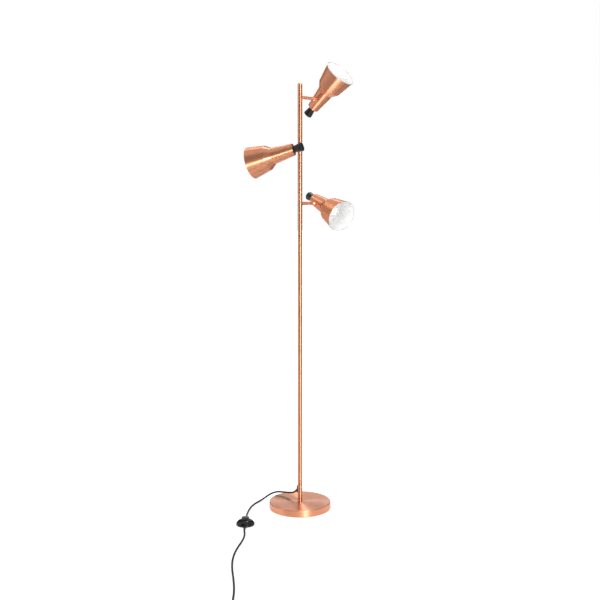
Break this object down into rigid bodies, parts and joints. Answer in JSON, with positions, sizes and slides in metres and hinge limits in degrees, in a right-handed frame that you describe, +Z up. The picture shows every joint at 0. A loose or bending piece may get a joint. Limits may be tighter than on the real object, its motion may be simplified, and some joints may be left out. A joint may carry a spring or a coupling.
{
  "type": "floor spot lamp",
  "caption": "Slim free-standing floor lamp: round weighted base, upright pole and adjustable cone spot heads on short hinged arms, with a foot switch on its cord.",
  "frame": {"origin": "centre of the base's underside, where the lamp stands on the floor", "axes": "+Z up along the pole, -Y towards the viewer who faces the lamp, +X to that viewer's right"},
  "size_m": [0.4073, 1.0447, 1.5774],
  "materials": {
    "copper_tube": "copper-plated, brushed along the tube, clear lacquer",
    "copper_sheet": "copper-plated, turned brushing, clear lacquer",
    "copper_shade": "spun, copper-plated and brushed round, white enamel inside",
    "cast_weight": "as cast",
    "base_felt": "black felt",
    "steel_hardware": "zinc-plated",
    "hinge_screw": "copper-toned, slotted head",
    "friction_washer": "black fibre",
    "inner_flex": "pale insulation",
    "black_moulding": "matt black moulding",
    "knob_black": "black heat-proof grip",
    "lampholder": "black heat-proof moulding",
    "opal_glass": "opal white globe, screw cap inside the lampholder",
    "switch_black": "satin black moulding",
    "cord_black": "soft black flex and moulded sleeves",
    "tie": "black strap",
    "plug_brass": "nickelled brass pins"
  },
  "bodies": {
    "stand": {"base_cover": "copper_sheet", "base_weight": "cast_weight", "base_pad": "base_felt", "base_bolt": "steel_hardware", "pole_lower": "copper_tube", "pole_middle": "copper_tube", "pole_upper": "copper_tube", "pole_couplers": "steel_hardware", "pole_foot_insert": "steel_hardware", "pole_cap": "copper_tube", "pole_flexes": "inner_flex", "cord_outlet": "black_moulding", "upper_arm_collar": "copper_tube", "middle_arm_collar": "copper_tube", "lower_arm_collar": "copper_tube", "arm_screws": "steel_hardware", "arm_washers": "friction_washer", "switch_cover": "switch_black", "switch_plate": "switch_black", "switch_block": "inner_flex", "switch_spring": "steel_hardware", "switch_sleeves": "cord_black", "cord_to_switch": "cord_black", "cord_from_switch": "cord_black", "cord_coil": "cord_black", "coil_tie": "tie", "plug_body": "cord_black", "plug_pins": "plug_brass"},
    "upper_swivel_arm": {"upper_arm": "copper_tube", "upper_fork": "copper_tube", "upper_hinge_screw": "hinge_screw"},
    "upper_tilt_knuckle": {"upper_knuckle": "copper_tube", "upper_stub_nut": "steel_hardware"},
    "upper_spot_head": {"upper_shade": "copper_shade", "upper_knob": "knob_black", "upper_stud": "steel_hardware", "upper_lampholder": "lampholder", "upper_bulb": "opal_glass"},
    "middle_swivel_arm": {"middle_arm": "copper_tube", "middle_fork": "copper_tube", "middle_hinge_screw": "hinge_screw"},
    "middle_tilt_knuckle": {"middle_knuckle": "copper_tube", "middle_stub_nut": "steel_hardware"},
    "middle_spot_head": {"middle_shade": "copper_shade", "middle_knob": "knob_black", "middle_stud": "steel_hardware", "middle_lampholder": "lampholder", "middle_bulb": "opal_glass"},
    "lower_swivel_arm": {"lower_arm": "copper_tube", "lower_fork": "copper_tube", "lower_hinge_screw": "hinge_screw"},
    "lower_tilt_knuckle": {"lower_knuckle": "copper_tube", "lower_stub_nut": "steel_hardware"},
    "lower_spot_head": {"lower_shade": "copper_shade", "lower_knob": "knob_black", "lower_stud": "steel_hardware", "lower_lampholder": "lampholder", "lower_bulb": "opal_glass"},
    "foot_button": {"switch_button": "switch_black"}
  },
  "joints": [
    {"name": "upper_swivel", "type": "hinge", "parent": "stand", "child": "upper_swivel_arm", "pos_m": [0.01259, 0.01216, 1.454], "axis": [0.7193, 0.6947, 0], "range_deg": [-172, 172]},
    {"name": "upper_tilt", "type": "hinge", "parent": "upper_swivel_arm", "child": "upper_tilt_knuckle", "pos_m": [0.04856, 0.04689, 1.454], "axis": [0, 0, 1], "range_deg": [-52.5, 37.5]},
    {"name": "upper_turn", "type": "hinge", "parent": "upper_tilt_knuckle", "child": "upper_spot_head", "pos_m": [0.05304, 0.05252, 1.454], "axis": [0.6225, 0.7826, 0], "range_deg": [-165, 165]},
    {"name": "middle_swivel", "type": "hinge", "parent": "stand", "child": "middle_swivel_arm", "pos_m": [-0.01259, -0.01216, 1.2725], "axis": [-0.7193, -0.6947, 0], "range_deg": [-135, 209]},
    {"name": "middle_tilt", "type": "hinge", "parent": "middle_swivel_arm", "child": "middle_tilt_knuckle", "pos_m": [-0.04856, -0.04689, 1.2725], "axis": [0.4181, -0.4329, 0.7986], "range_deg": [-80.8, 9.2]},
    {"name": "middle_turn", "type": "hinge", "parent": "middle_tilt_knuckle", "child": "middle_spot_head", "pos_m": [-0.05042, -0.05337, 1.26997], "axis": [-0.2589, -0.8995, -0.352], "range_deg": [-240, 50]},
    {"name": "lower_swivel", "type": "hinge", "parent": "stand", "child": "lower_swivel_arm", "pos_m": [0.01259, 0.01216, 1.091], "axis": [0.7193, 0.6947, 0], "range_deg": [-172, 172]},
    {"name": "lower_tilt", "type": "hinge", "parent": "lower_swivel_arm", "child": "lower_tilt_knuckle", "pos_m": [0.04856, 0.04689, 1.091], "axis": [0, 0, 1], "range_deg": [-38.9, 51.1]},
    {"name": "lower_turn", "type": "hinge", "parent": "lower_tilt_knuckle", "child": "lower_spot_head", "pos_m": [0.05424, 0.05131, 1.091], "axis": [0.7891, 0.6143, 0], "range_deg": [-165, 165]},
    {"name": "switch_press", "type": "slide", "parent": "stand", "child": "foot_button", "axis": [0, 0, -1], "range_m": [0, 0.003], "stiffness_N_per_m": 600, "springref_m": -0.003, "deforming": ["switch_spring"]}
  ]
}
